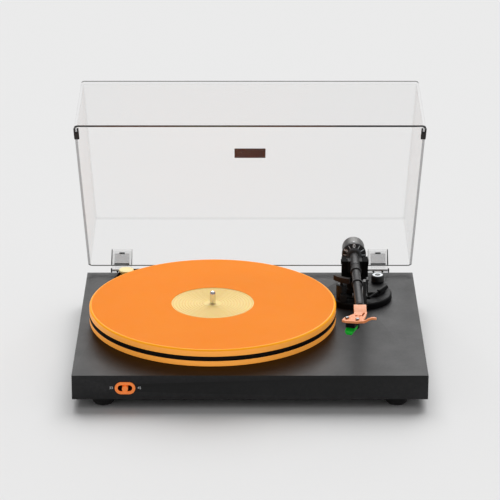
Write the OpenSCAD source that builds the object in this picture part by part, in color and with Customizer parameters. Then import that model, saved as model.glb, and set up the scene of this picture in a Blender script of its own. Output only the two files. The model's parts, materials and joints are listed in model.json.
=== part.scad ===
// Belt-driven record player with a hinged clear dust cover.
// X runs to the right, Y to the back and Z up. The floor is at z = 0 and the
// origin is under the middle of the open player. Sizes are in millimetres.

/* [Plinth] */
// Width of the plinth
plinth_w = 415; // [410:1:425]
// Depth of the plinth
plinth_d = 333; // [331:1:340]
// Thickness of the plinth
plinth_h = 30; // [29:1:34]
// Height of the feet
foot_h = 12; // [11:1:16]

/* [Platter] */
// Diameter of the platter
platter_d = 299; // [294:1:300]
// Thickness of the platter
platter_t = 20.8; // [20:0.2:22]
// Gap between the plinth and the platter
platter_gap = 7.6; // [7:0.2:9]
// Height of the record spindle above the platter
spindle_h = 15; // [12:1:16]

/* [Dust cover] */
// Height of the dust cover
lid_h = 68; // [67:1:74]
// Wall of the dust cover
lid_wall = 3; // [2.5:0.25:3]
// Angle at which the dust cover stands open
lid_open = 50.5; // [45:0.5:58]

/* [Tonearm] */
// Height of the tonearm pivot above the plinth
pivot_h = 48; // [47.5:0.5:49]
// Upward tilt of the parked tonearm
arm_tilt = 1.6; // [1.4:0.1:1.8]
// Diameter of the counterweight
weight_d = 28; // [24:1:30]
// Length of the counterweight behind its dial ring
weight_len = 24; // [20:1:26]

/* [Hidden] */
$fn = 64;
gap = 0.3;
fit = 0.05;

// Plinth
origin_shift = 23.9;
plinth_y = -origin_shift;
top = foot_h + plinth_h;
front_y = plinth_y - plinth_d / 2;
back_y = plinth_y + plinth_d / 2;
foot_x = 172;
foot_front_dy = 147;
foot_rear_dy = 152;
foot_r = 13;
pocket_top = top - 8;
motor_skin = 4;
cover_t = 2;
cover_lip = 5;

// Service pocket under the plinth: an L along the back and the left side
pocket_left = -158;
pocket_side_w = 30;
pocket_right = 84;
pocket_back = back_y - 8;
pocket_front = front_y + 6;
pocket_back_d = 52;

// Main bearing and platter
platter_x = -45.2;
platter_y = plinth_y - 8.5;
platter_z = top + platter_gap;
platter_top = platter_z + platter_t;
platter_r = platter_d / 2;
shaft_r = 4;
spindle_r = 3.55;
bearing_r = 10;
flange_r = 18;
flange_t = 2.5;
flange_bolt_r = 14;
bearing_bottom = foot_h + 1.5;
ball_r = 3;
hub_r = 12;
hub_top = platter_top - 4.5;
label_r = 50;
label_depth = 0.6;
label_z = platter_top - label_depth;
groove_z = platter_z + 7.1;
groove_h = 5.2;
groove_depth = 2.2;

// Motor, pulley and belt
motor_x = -155.6;
motor_y = plinth_y + 120;
motor_r = 14;
motor_bottom = foot_h + cover_t + 1;
motor_plate_z = top - motor_skin - 3.5;
motor_plate_r = 16;
motor_mount_r = 19.5;
motor_pocket_r = 18.5;
motor_lug_r = 6.5;
motor_lugs = [27, 207, 297];
motor_shaft_r = 1.25;
pulley_r = 9.4;
pulley_groove_r = 7;
belt_t = 1;
belt_h = groove_h - 1;
belt_z = groove_z + 0.5;

// Front switch
switch_x = -145.4;
switch_z = top - 15.6;
bezel_w = 24;
bezel_h = 15.4;
bezel_t = 1.6;
slot_w = 16.8;
slot_h = 7.5;
knob_r = 3.5;
knob_out = 3.6;

// Rear connectors
jack_z = foot_h + 15;
panel_left = -122;
panel_right = 72;
panel_h = 22;
panel_t = 1.5;
panel_y = back_y + panel_t;
inlet_x = -106;
ground_x = 13;
rca_x = [36, 56.5];
rca_r = 4.15;
rca_len = 9;
board_z = pocket_top - 6;
board_t = 1.6;
board_left = -114;
board_w = 180;
board_d = 34;
board_back = back_y - 10;

// Dust cover and hinges
lid_w = plinth_w - 2;
lid_gap = 3;
lid_draft = 6;
lid_corner = 5;
lid_edge = 2.5;
lid_inner_edge = 1;
lid_z = top + lid_gap;
hinge_y = back_y + 6.6;
hinge_z = top + 0.5;
hinge_x = 163.5;
hinge_half = 13;
knuckle_half = 8.5;
knuckle_r = 5;
pin_r = 1.5;
clip_h = 21;
clip_t = 2;
draft_angle = atan(lid_draft / lid_h);
badge_w = 38.5;
badge_l = 20;
badge_t = 1.6;
badge_from_front = 161;
bumper_l = 22;

// Tonearm
pivot_x = 130;
pivot_y = plinth_y + 80;
pivot_z = top + pivot_h;
base_x = 134.5;
base_y = plinth_y + 79;
base_r = 42;
base_h = 8;
base_z = top + base_h;
step_h = 5.5;
step_z = base_z + step_h;
pillar_r = 12;
pillar_top = pivot_z - 21.4;
bearing_bore = 4;
cheek_in = 10;
cheek_out = 16.2;
cheek_half = 9;
yoke_bottom = -21;
yoke_top = 3.4;
yoke_plate = 6.5;
sleeve_r = 6;
sleeve_front = 42;
sleeve_back = 17;
tube_r = 5.2;
tube_bore = 4.2;
tube_len = 165;
ring_w = 3;
ring_at = 82;
stub_r = 4;
stub_end = 64;
bush_r = 7;
dial_w = 7;
dial_r = weight_d / 2 + 1.2;
weight_front = 24.5;
weight_end = weight_front + dial_w + weight_len;

// Headshell and cartridge, seen from above with the pivot at [0, 0]
shell_turn = 21;
shell_front = [-13, -209.5];
block_back = 165;
block_front = 178;
block_w = 14.6;
block_top = 3.6;
plug_r = 2.2;
plug_len = 6;
plate_t = 2.6;
plate_top = -0.4;
plate_bottom = plate_top - plate_t;
cart_w = 11;
cart_len = 18;
cart_h = 11.5;
bolt_half = 6.35;
bolt_back = 7.5;
bolt_r = 1.3;
stylus_drop = 18;
lift_front = -210.6;
lift_w = 3.6;

// Cueing and armrest
cue_radius = 28;
cue_angle = -127;
cue_from = -151;
cue_to = -104;
cue_bar_w = 5;
cue_bar_h = 6.5;
cue_top = top + 36;
cue_x = pivot_x + cue_radius * cos(cue_angle);
cue_y = pivot_y + cue_radius * sin(cue_angle);
cue_house_r = 6.5;
cue_house_top = top + 26;
cue_rod_r = 1.8;
cue_rod_bottom = top + 15;
lever_y = plinth_y + 48;
lever_z = base_z + 4.5;
lever_r = 1.5;
lever_grip_r = 2.7;
lever_end = 147;
lever_tip = [169.6, plinth_y + 71, base_z + 10];
rest_y = plinth_y - 14;
rest_half = 4;
rest_x = pivot_x + tube_r + 1.4;
rest_w = 3.6;
rest_shelf = top + 41.3;
clip_pin_x = rest_x + rest_w + 1.4;
clip_pin_z = top + 60.6;
clip_pin_r = 0.9;
clip_ear_r = 1.6;
clip_lug = 1.2;
clip_ear_w = rest_half - clip_lug - gap;
clip_bar = 1.8;
clip_len = 15;
rest_top = clip_pin_z - 1.3;
dial_x = 159.7;
dial_y = plinth_y + 101;
skate_r = 7.9;
skate_h = 8;
skate_pin_r = 2.5;

// ---- Shared shapes ----

module rod(r, from, to) {
  translate([0, 0, from]) cylinder(h = to - from, r = r);
}

module ring(r_out, r_in, from, to) {
  difference() {
    rod(r_out, from, to);
    rod(r_in, from - 1, to + 1);
  }
}

module slab(x, y, z) {
  translate([x[0], y[0], z[0]]) cube([x[1] - x[0], y[1] - y[0], z[1] - z[0]]);
}

module stadium(w, h) {
  square([w - h, h], center = true);
  for (side = [-1, 1]) translate([side * (w - h) / 2, 0]) circle(d = h);
}

// A pan-head screw standing on z = 0 with its thread below
module screw(head_r, head_h, thread_r, length) {
  rod(thread_r, -length, 0);
  difference() {
    rod(head_r, 0, head_h);
    slab([-0.4, 0.4], [-head_r, head_r], [head_h * 0.5, head_h + 1]);
    slab([-head_r, head_r], [-0.4, 0.4], [head_h * 0.5, head_h + 1]);
  }
}

module at_feet() {
  for (x = [-foot_x, foot_x], y = [-foot_front_dy, foot_rear_dy])
    translate([x, plinth_y + y, 0]) children();
}

// ---- Plinth ----

module pocket_outline(grow) {
  translate([pocket_left - grow, pocket_front - grow])
    square([pocket_side_w + 2 * grow, pocket_back - pocket_front + 2 * grow]);
  translate([pocket_left - grow, pocket_back - pocket_back_d - grow])
    square([pocket_right - pocket_left + 2 * grow, pocket_back_d + 2 * grow]);
  motor_outline(grow * 0.7);
}

module motor_outline(grow) {
  translate([motor_x, motor_y]) {
    circle(r = motor_pocket_r + grow);
    for (a = motor_lugs) rotate(a) translate([motor_mount_r, 0]) circle(r = motor_lug_r + grow);
  }
}

module cover_points() {
  for (p = [[pocket_left + pocket_side_w + 2.5, front_y + 30], [pocket_left + pocket_side_w + 2.5, plinth_y],
            [pocket_right + 2.5, back_y - 30], [pocket_left / 3, pocket_back - pocket_back_d - 2.5]])
    translate([p[0], p[1], foot_h + cover_t]) children();
}

module plinth() {
  color("#2b2b2d") difference() {
    slab([-plinth_w / 2, plinth_w / 2], [front_y, back_y], [foot_h, top]);
    translate([0, 0, foot_h - 1]) linear_extrude(pocket_top - foot_h + 1) pocket_outline(0);
    translate([0, 0, foot_h - 1]) linear_extrude(cover_t + 1) pocket_outline(cover_lip);
    translate([0, 0, foot_h - 1]) linear_extrude(top - motor_skin - foot_h + 1) motor_outline(0);
    motor_mounts() rod(1.5, top - motor_skin - 1, top - 1);
    translate([motor_x, motor_y, 0]) rod(12, top - motor_skin - 1, top + 1);
    translate([platter_x, platter_y, 0]) rod(bearing_r, foot_h - 1, top + 1);
    translate([pivot_x, pivot_y, 0]) rod(9, foot_h - 1, top + 1);
    translate([switch_x, front_y + 10, switch_z]) rotate([90, 0, 0]) linear_extrude(11)
      stadium(slot_w + 2, slot_h + 2);
    slab([panel_left + 3, panel_right - 3], [pocket_back - 1, back_y + 1], [jack_z - 9, jack_z + 9]);
    at_feet() rod(1.6, foot_h - 1, foot_h + 13);
    cover_points() rod(1.2, -1, 8);
    bearing_screw_points() rod(1.3, -9, 0);
    for (x = [-hinge_x, hinge_x]) hinge_screw_points(x) rod(1.6, -12, 0);
    panel_points() rod(1.3, -8, 0);
  }
}

module bottom_cover() {
  color("#1c1c1e") difference() {
    translate([0, 0, foot_h]) linear_extrude(cover_t - 0.1) pocket_outline(cover_lip - gap);
    cover_points() rod(1.3, -4, 1);
  }
}

module cover_screws() {
  color("#8a8a8e") cover_points() translate([0, 0, -cover_t]) mirror([0, 0, 1]) screw(2.3, 1.2, 1.2, 9);
}

// ---- Feet ----

module foot() {
  color("#151516") difference() {
    rotate_extrude() polygon([[0, 0], [foot_r - 3, 0], [foot_r - 0.8, 2.5], [foot_r, 5], [foot_r, foot_h - 1],
                              [foot_r - 1, foot_h], [0, foot_h]]);
    rod(1.8, -1, foot_h + 1);
    rod(4.5, -1, 5);
  }
}

module foot_at(x, dy) {
  translate([x, plinth_y + dy, 0]) foot();
}

module foot_front_left() {
  foot_at(-foot_x, -foot_front_dy);
}

module foot_front_right() {
  foot_at(foot_x, -foot_front_dy);
}

module foot_rear_left() {
  foot_at(-foot_x, foot_rear_dy);
}

module foot_rear_right() {
  foot_at(foot_x, foot_rear_dy);
}

module foot_screws() {
  color("#9a9a9e") at_feet() translate([0, 0, 5]) mirror([0, 0, 1]) screw(3.8, 2.2, 1.6, foot_h + 6);
}

// ---- Main bearing and platter ----

module bearing_screw_points() {
  for (a = [90, 210, 330])
    translate([platter_x, platter_y, top + flange_t]) rotate([0, 0, a]) translate([flange_bolt_r, 0, 0])
      children();
}

module main_bearing() {
  color("#b9975b") difference() {
    translate([platter_x, platter_y, 0]) union() {
      rod(bearing_r, bearing_bottom, top);
      rod(flange_r, top, top + flange_t);
    }
    translate([platter_x, platter_y, 0]) rod(shaft_r + fit, bearing_bottom + 3, top + 4);
    bearing_screw_points() rod(1.3, -4, 1);
  }
}

module bearing_ball() {
  color("#d9dadc") translate([platter_x, platter_y, bearing_bottom + 3 + ball_r]) sphere(r = ball_r);
}

module bearing_screws() {
  color("#9a9a9e") bearing_screw_points() screw(2.3, 1.4, 1.3, 9);
}

module platter() {
  color("#ff8d2d") translate([platter_x, platter_y, 0]) rotate_extrude($fn = 180)
    polygon([[hub_r, platter_z], [platter_r - 1.2, platter_z],
             [platter_r, platter_z + 1.2], [platter_r, groove_z],
             [platter_r - groove_depth, groove_z], [platter_r - groove_depth, groove_z + groove_h],
             [platter_r, groove_z + groove_h], [platter_r, platter_top - 1.6],
             [platter_r - 1.6, platter_top], [label_r, platter_top],
             [label_r, label_z], [shaft_r, label_z], [shaft_r, hub_top], [hub_r, hub_top]]);
}

module platter_hub() {
  color("#c4c5c8") translate([platter_x, platter_y, 0]) ring(hub_r, shaft_r, platter_z - 2.6, hub_top);
}

module spindle() {
  tip = platter_top + spindle_h;
  color("#c9a184") translate([platter_x, platter_y, 0]) rotate_extrude()
    polygon([[0, bearing_bottom + 3 + 2 * ball_r + gap], [shaft_r, bearing_bottom + 3 + 2 * ball_r + gap],
             [shaft_r, label_z], [spindle_r, label_z], [spindle_r, tip - 3.2],
             [spindle_r - 0.5, tip - 1.6], [spindle_r - 1.6, tip - 0.4], [spindle_r - 2.6, tip], [0, tip]]);
}

// ---- Motor drive ----

module at_motor() {
  translate([motor_x, motor_y, 0]) children();
}

module motor_mounts() {
  for (a = motor_lugs) at_motor() rotate([0, 0, a]) translate([motor_mount_r, 0, 0]) children();
}

module motor() {
  color("#7d7f83") at_motor() difference() {
    union() {
      rod(motor_r, motor_bottom, motor_plate_z);
      rod(4, motor_plate_z, motor_plate_z + 3);
    }
    rod(motor_shaft_r + fit, motor_bottom + 4, motor_plate_z + 4);
  }
}

module motor_plate() {
  color("#a8a9ad") difference() {
    union() {
      at_motor() rod(motor_plate_r, motor_plate_z, motor_plate_z + 1.5);
      motor_mounts() rod(5.6, motor_plate_z, motor_plate_z + 1.5);
    }
    at_motor() rod(4, motor_plate_z - 1, motor_plate_z + 3);
    motor_mounts() rod(3.5, motor_plate_z - 1, motor_plate_z + 3);
  }
}

module motor_grommets() {
  color("#202022") motor_mounts() translate([0, 0, motor_plate_z]) {
    ring(4.8, 1.5, -1.5, 0);
    ring(3.5, 1.5, 0, 1.5);
    ring(4.8, 1.5, 1.5, 3.5);
  }
}

module motor_screws() {
  color("#9a9a9e") motor_mounts() translate([0, 0, motor_plate_z - 1.5]) mirror([0, 0, 1])
    screw(3, 1.6, 1.5, 7);
}

module motor_shaft() {
  color("#d0d1d4") at_motor() rod(motor_shaft_r, motor_bottom + 4 + gap, groove_z + groove_h + 1);
}

module pulley() {
  color("#f2dc8c") at_motor() difference() {
    rotate_extrude() polygon([[0, top + 2], [4.5, top + 2], [4.5, groove_z - 1.4],
      [pulley_r, groove_z - 1], [pulley_r, groove_z],
      [pulley_groove_r, groove_z + 0.3], [pulley_groove_r, groove_z + groove_h - 0.3],
      [pulley_r, groove_z + groove_h], [pulley_r, groove_z + groove_h + 1.6],
      [pulley_r - 0.6, groove_z + groove_h + 2.2], [0, groove_z + groove_h + 2.2]]);
    rod(motor_shaft_r, top + 1, groove_z + groove_h + 1);
  }
}

module belt_loop(grow) {
  hull() {
    translate([platter_x, platter_y]) circle(r = platter_r - groove_depth + gap + grow, $fn = 120);
    translate([motor_x, motor_y]) circle(r = pulley_groove_r + gap + grow, $fn = 48);
  }
}

module belt() {
  color("#2d261e") translate([0, 0, belt_z]) linear_extrude(belt_h) difference() {
    belt_loop(belt_t);
    belt_loop(0);
  }
}

// ---- Front switch ----

module on_front(x, z) {
  translate([x, front_y, z]) rotate([90, 0, 0]) children();
}

module switch_bezel() {
  color("#f08a4b") on_front(switch_x, switch_z) difference() {
    linear_extrude(bezel_t) stadium(bezel_w, bezel_h);
    translate([0, 0, -1]) linear_extrude(bezel_t + 2) stadium(slot_w, slot_h);
  }
}

module switch_body() {
  color("#1a1a1c") on_front(switch_x, switch_z) difference() {
    translate([-11.5, -6, -24]) cube([23, 12, 13]);
    translate([-7.5, -2.4, -19]) cube([15, 4.8, 9]);
  }
}

module switch_knob() {
  color("#f08a4b") on_front(switch_x, switch_z) {
    rod(knob_r, -9, knob_out);
    translate([-1.8, -1.8, -16]) cube([3.6, 3.6, 8]);
  }
}

// ---- Rear connectors and electronics ----

module on_back(x, z, y = panel_y) {
  translate([x, y, z]) rotate([-90, 0, 0]) children();
}

module panel_points() {
  for (x = [panel_left - 2, panel_right + 2], z = [jack_z - 8, jack_z + 8]) on_back(x, z) children();
}

module rear_panel() {
  color("#232325") difference() {
    slab([panel_left - 6, panel_right + 6], [back_y, panel_y], [jack_z - panel_h / 2, jack_z + panel_h / 2]);
    for (x = rca_x) on_back(x, jack_z) rod(3, -5, 1);
    on_back(inlet_x, jack_z) rod(5.2, -5, 1);
    on_back(ground_x, jack_z) rod(2, -5, 1);
    panel_points() rod(1.3, -5, 1);
  }
}

module panel_screws() {
  color("#8a8a8e") panel_points() screw(2.3, 1.3, 1.3, panel_t + 6);
}

module dc_inlet() {
  color("#111112") on_back(inlet_x, jack_z) difference() {
    union() {
      rod(5.2, -panel_t, 0);
      rod(6, 0, 1.2);
      translate([-5.5, -5.5, -panel_t - 8]) cube([11, 11, 8]);
    }
    difference() {
      rod(2.9, -7, 2);
      rod(1.05, -8, 0.2);
    }
  }
}

module rca_jacks() {
  color("#d9b45a") for (x = rca_x) on_back(x, jack_z) difference() {
    union() {
      rod(3, -7, 1);
      rod(5.4, 0, 1.6);
      rod(rca_r, 1, rca_len + 1.6);
    }
    rod(1.6, 3, rca_len + 2);
  }
}

module ground_terminal() {
  color("#c9a45a") on_back(ground_x, jack_z) {
    rod(2, -7, 11);
    rod(4.2, 0, 1.5);
    rod(4.8, 3.5, 9);
  }
}

module board_points() {
  for (x = [board_left + 5, board_left + board_w - 5], y = [board_back - board_d + 5, board_back - 5])
    translate([x, y, 0]) children();
}

module control_board() {
  color("#1d5a34") difference() {
    slab([board_left, board_left + board_w], [board_back - board_d, board_back],
         [board_z, board_z + board_t]);
    board_points() rod(1.3, board_z - 1, board_z + 3);
  }
}

module board_parts() {
  color("#2e2e33") {
    for (i = [0:3]) translate([board_left + 24 + 14 * i, board_back - 12, 0]) rod(4, board_z - 9, board_z);
    for (i = [0:2])
      translate([board_left + 30 + 34 * i, board_back - 30, board_z - 2]) cube([16, 8, 2]);
    translate([board_left + board_w - 34, board_back - 30, board_z - 6]) cube([18, 7, 6]);
  }
}

module board_screws() {
  color("#9a9a9e") board_points() {
    translate([0, 0, board_z]) mirror([0, 0, 1]) screw(2.4, 1.4, 1.3, board_t + 1);
    rod(2.4, board_z + board_t, pocket_top);
  }
}

// ---- Dust cover, drawn closed and turned open about its hinge ----

module lid_pose() {
  translate([0, hinge_y, hinge_z]) rotate([-lid_open, 0, 0]) translate([0, -hinge_y, -hinge_z]) children();
}

module lid_corner_post(sx, sy, inset, height, edge) {
  low = lid_corner - inset;
  translate([sx * (lid_w / 2 - lid_corner), plinth_y + sy * (plinth_d / 2 - lid_corner), lid_z])
    cylinder(h = 0.01, r = low, $fn = 32);
  translate([sx * (lid_w / 2 - lid_draft - lid_corner),
             plinth_y + sy * (plinth_d / 2 - lid_draft - lid_corner),
             lid_z + height - edge]) {
    cylinder(h = 0.01, r = low, $fn = 32);
    translate([0, 0, edge * 0.7]) cylinder(h = 0.01, r = low - edge * 0.29, $fn = 32);
    translate([0, 0, edge - 0.01]) cylinder(h = 0.01, r = low - edge, $fn = 32);
  }
}

module lid_solid(inset, height, edge) {
  hull() for (sx = [-1, 1], sy = [-1, 1]) lid_corner_post(sx, sy, inset, height, edge);
}

module dust_cover() {
  color("#dfe6ea55") lid_pose() difference() {
    lid_solid(0, lid_h, lid_edge);
    lid_solid(lid_wall, lid_h - lid_wall, lid_inner_edge);
    slab([-lid_w, lid_w], [front_y - 9, back_y + 9], [lid_z - 9, lid_z + 0.02]);
  }
}

module cover_badge() {
  badge_y = front_y + badge_from_front;
  color("#4a0f12") lid_pose()
    slab([-badge_w / 2, badge_w / 2], [badge_y, badge_y + badge_l], [lid_z + lid_h, lid_z + lid_h + badge_t]);
}

module cover_bumpers() {
  color("#141415") lid_pose() for (sx = [-1, 1])
    slab(sx > 0 ? [lid_w / 2 - 2.6, lid_w / 2 - 0.4] : [0.4 - lid_w / 2, 2.6 - lid_w / 2],
         [front_y + lid_corner, front_y + lid_corner + bumper_l], [lid_z - 2.2, lid_z - 0.02]);
}

// ---- Hinges ----

module along_x(x, y, z) {
  translate([x, y, z]) rotate([0, 90, 0]) children();
}

module hinge_screw_points(x) {
  for (dx = [-8, 8]) translate([x + dx, back_y + 3, top - 17]) rotate([-90, 0, 0]) children();
}

module hinge_base(x) {
  color("#e6eaec88") difference() {
    union() {
      slab([x - 12.5, x + 12.5], [back_y, back_y + 3], [top - 24, top - 9]);
      slab([x - knuckle_half, x + knuckle_half], [back_y, hinge_y + 2], [top - 12, hinge_z]);
      along_x(x, hinge_y, hinge_z) rod(knuckle_r, -knuckle_half, knuckle_half);
    }
    along_x(x, hinge_y, hinge_z) rod(pin_r + fit, -knuckle_half - 1, knuckle_half + 1);
    hinge_screw_points(x) rod(1.6, -5, 1);
  }
}

module hinge_base_left() {
  hinge_base(-hinge_x);
}

module hinge_base_right() {
  hinge_base(hinge_x);
}

// Clip around the rear rim of the cover, with an ear each side of the knuckle
module hinge_arm(x) {
  half_ear = (hinge_half - knuckle_half - gap) / 2;
  color("#e6eaec88") lid_pose() difference() {
    union() {
      difference() {
        hinge_clip(x);
        along_x(x, hinge_y, hinge_z) rod(knuckle_r + gap, -knuckle_half - gap - 0.1, knuckle_half + 0.4);
      }
      for (side = [-1, 1]) hinge_ear(x + side * (hinge_half - half_ear), half_ear - 0.05);
    }
    along_x(x, hinge_y, hinge_z) rod(pin_r, -hinge_half - 1, hinge_half + 1);
  }
}

module hinge_ear(x, half) {
  along_x(x, hinge_y, hinge_z) rod(knuckle_r, -half, half);
  slab([x - half, x + half], [back_y + 0.9, hinge_y], [hinge_z + 0.8, hinge_z + knuckle_r - 0.9]);
}

// The clip's section in [Y, Z] follows the lean of the cover's rear wall
module hinge_clip(x) {
  lean = clip_h * tan(draft_angle);
  outer = back_y + 0.2;
  inner = back_y - lid_wall - 0.2;
  translate([x - hinge_half, 0, 0]) rotate([90, 0, 90]) linear_extrude(2 * hinge_half)
    polygon([[outer + clip_t, lid_z - 1.2], [outer + clip_t - lean, lid_z + clip_h],
             [outer - lean, lid_z + clip_h], [outer, lid_z - 0.1], [inner, lid_z - 0.1],
             [inner - lean, lid_z + clip_h], [inner - clip_t - lean, lid_z + clip_h],
             [inner - clip_t, lid_z - 1.2], [inner - clip_t + 1, lid_z - 2.2], [outer + 1, lid_z - 2.2]]);
}

module hinge_arm_left() {
  hinge_arm(-hinge_x);
}

module hinge_arm_right() {
  hinge_arm(hinge_x);
}

module hinge_pins() {
  color("#1b1b1d") lid_pose() for (x = [-hinge_x, hinge_x]) along_x(x, hinge_y, hinge_z) {
    rod(pin_r, -hinge_half, hinge_half);
    for (side = [-1, 1]) translate([0, 0, side * (hinge_half + 0.7)]) rod(3, -0.7, 0.7);
  }
}

module hinge_screws() {
  color("#6c6c70") for (x = [-hinge_x, hinge_x]) hinge_screw_points(x) screw(3, 1.6, 1.6, 11.5);
}

// ---- Tonearm base ----

module arm_base() {
  color("#202022") difference() {
    translate([base_x, base_y, 0]) rotate_extrude($fn = 128)
      polygon([[0, top], [base_r, top], [base_r, base_z - 1.4], [base_r - 1.4, base_z], [0, base_z]]);
    translate([pivot_x, pivot_y, 0]) rod(9, top - 1, base_z + 1);
  }
}

module arm_base_plate() {
  color("#2a2a2c") translate([0, plinth_y, 0]) {
    translate([0, 0, base_z]) linear_extrude(step_h)
      polygon([[146, 63], [157.5, 63.5], [167.6, 75.5], [171, 92], [167, 104], [158, 111], [149, 109], [147, 96]]);
    translate([dial_x, dial_y - plinth_y, 0]) rod(skate_pin_r, step_z - 1, step_z + 4.5);
  }
}

module arm_pillar() {
  color("#161617") translate([pivot_x, pivot_y, 0]) difference() {
    union() {
      rod(9, foot_h + 3, base_z);
      rod(pillar_r, base_z, base_z + 6);
      rod(10, base_z + 6, pillar_top);
    }
    rod(bearing_bore + 2.6, foot_h + 2, pillar_top + 1);
  }
}

module pivot_bearings() {
  color("#c9cacd") translate([pivot_x, pivot_y, 0]) {
    ring(bearing_bore + 2.6, bearing_bore + fit, pillar_top - 5, pillar_top - 0.5);
    ring(bearing_bore + 2.6, bearing_bore + fit, foot_h + 5, foot_h + 9.5);
  }
}

module armrest() {
  wall = rest_x + rest_w;
  color("#161617") difference() {
    union() {
      translate([wall, 0, 0]) rotate([90, 0, -90]) linear_extrude(rest_w) armrest_side();
      slab([pivot_x - 6, rest_x + 1], [rest_y - rest_half, rest_y + rest_half], [rest_shelf - 3, rest_shelf]);
      slab([pivot_x + 5, wall], [pivot_y - 14, pivot_y - 4], [base_z + 7, base_z + 12]);
      slab([wall - 0.6, clip_pin_x], [rest_y - clip_lug, rest_y + clip_lug], [rest_top - 0.7, clip_pin_z]);
      along_y(clip_pin_x, clip_pin_z) rod(clip_ear_r, rest_y - clip_lug, rest_y + clip_lug);
    }
    translate([pivot_x, pivot_y, 0]) rod(10, 0, pillar_top + 9);
    along_y(clip_pin_x, clip_pin_z) rod(clip_pin_r + fit, rest_y - 2, rest_y + 2);
  }
}

// Outline of the armrest's side in [-Y, Z]: it steps up past the yoke and ends in the cradle wall
module armrest_side() {
  polygon([[-pivot_y + 4, base_z + 7], [-pivot_y + 22, base_z + 7], [-pivot_y + 34, base_z + 20],
           [-rest_y + rest_half, base_z + 20], [-rest_y + rest_half, rest_top],
           [-rest_y - rest_half, rest_top],
           [-rest_y - rest_half, base_z + 26], [-pivot_y + 28, base_z + 26], [-pivot_y + 20, base_z + 12],
           [-pivot_y + 4, base_z + 12]]);
}

// Cylinders from one Y to another
module along_y(x, z) {
  translate([x, 0, z]) rotate([-90, 0, 0]) children();
}

// Latch on the right of the armrest: it hangs open and swings over the tube
module armrest_clip() {
  color("#1d1d1f") along_y(clip_pin_x, clip_pin_z) {
    rod(clip_pin_r, rest_y - rest_half, rest_y + rest_half);
    for (side = [-1, 1]) translate([0, 0, rest_y + side * (rest_half + clip_lug + gap) / 2]) {
      rod(clip_ear_r, -clip_ear_w / 2, clip_ear_w / 2);
      slab([-clip_bar / 2, clip_bar / 2], [0, 3], [-clip_ear_w / 2, clip_ear_w / 2]);
    }
    slab([-clip_bar / 2, clip_bar / 2], [2.4, clip_len], [rest_y - rest_half, rest_y + rest_half]);
  }
}

// ---- Cueing device and anti-skate ----

module cue_housing() {
  color("#19191b") difference() {
    union() {
      translate([cue_x, cue_y, 0]) rod(cue_house_r, base_z, cue_house_top);
      slab([cue_x - 2, cue_x + 6], [lever_y - 3, cue_y], [base_z, lever_z + 4]);
      slab([lever_end - 9, lever_end - 3], [lever_y - 4, lever_y + 4], [base_z, lever_z + 4]);
    }
    translate([cue_x, cue_y, 0]) rod(cue_rod_r + fit, base_z + 1.5, cue_house_top + 1);
    along_x(0, lever_y, lever_z) rod(lever_r + fit, cue_x + 1, lever_end);
  }
}

module cue_lever() {
  knee = [lever_end, lever_y, lever_z];
  reach = lever_tip - knee;
  color("#111112") {
    along_x(0, lever_y, lever_z) rod(lever_r, cue_x + 3, lever_end);
    translate(knee) sphere(r = lever_r + 0.6);
    translate(knee) rotate([0, acos(reach[2] / norm(reach)), atan2(reach[1], reach[0])]) {
      rod(1.3, 0, norm(reach) - 8);
      rod(lever_grip_r, norm(reach) - 15, norm(reach));
    }
  }
}

module cue_platform() {
  middle = (cue_from + cue_to) / 2;
  color("#241a17") {
    translate([pivot_x, pivot_y, cue_top - cue_bar_h]) linear_extrude(cue_bar_h) intersection() {
      difference() {
        circle(r = cue_radius + cue_bar_w / 2, $fn = 128);
        circle(r = cue_radius - cue_bar_w / 2, $fn = 128);
      }
      polygon([[0, 0], 60 * [cos(cue_from), sin(cue_from)], 70 * [cos(middle), sin(middle)],
               60 * [cos(cue_to), sin(cue_to)]]);
    }
    translate([cue_x, cue_y, 0]) rod(cue_rod_r, cue_rod_bottom, cue_top - cue_bar_h);
  }
}

module antiskate_dial() {
  color("#141415") translate([dial_x, dial_y, 0]) difference() {
    union() {
      rod(skate_r, step_z + gap, step_z + skate_h);
      rod(skate_r - 1.2, step_z + skate_h, step_z + skate_h + 0.8);
    }
    rod(skate_pin_r + fit, step_z - 1, step_z + 5);
  }
}

// ---- Swinging and lifting parts of the tonearm ----

module at_pivot() {
  translate([pivot_x, pivot_y, pivot_z]) children();
}

module gimbal_yoke() {
  color("#1b1b1d") at_pivot() difference() {
    union() {
      slab([-cheek_out, cheek_out], [-cheek_half, cheek_half], [yoke_bottom, yoke_bottom + yoke_plate]);
      for (x = [-cheek_out, cheek_in])
        slab([x, x + cheek_out - cheek_in], [-cheek_half, cheek_half], [yoke_bottom + 1, yoke_top]);
      rod(bearing_bore, foot_h + 4 - pivot_z, yoke_bottom + 1);
    }
    along_x(0, 0, 0) rod(2, -cheek_out - 1, cheek_out + 1);
  }
}

module pivot_screws() {
  color("#b7b8bb") at_pivot() for (side = [0, 1]) mirror([side, 0, 0]) along_x(0, 0, 0) {
    rod(2, 7.2, cheek_out);
    rod(3.2, cheek_out, cheek_out + 1);
  }
}

// Arm parts are drawn along -Y from the pivot, level, and tilted up by the parking angle
module arm_pose() {
  at_pivot() rotate([-arm_tilt, 0, 0]) children();
}

module along_arm() {
  rotate([90, 0, 0]) children();
}

module arm_tube() {
  color("#333436") arm_pose() difference() {
    union() {
      along_arm() rod(sleeve_r, -sleeve_back, sleeve_front);
      along_arm() rod(tube_r, sleeve_front, tube_len);
      along_arm() rod(plug_r, tube_len, tube_len + plug_len);
      along_arm() rod(sleeve_r + 0.8, sleeve_front - ring_w, sleeve_front);
      along_arm() rod(tube_r + 1.6, ring_at, ring_at + ring_w);
      along_arm() rod(stub_r, -stub_end, -sleeve_back);
      slab([gap - cheek_in, cheek_in - gap], [-7, 7], [-13.5, 2.6]);
    }
    along_arm() rod(tube_bore, sleeve_front - 20, tube_len - 6);
    for (side = [-1, 1]) along_x(side * 9, 0, 0) rod(2 + fit, -2, 2);
  }
}

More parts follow.
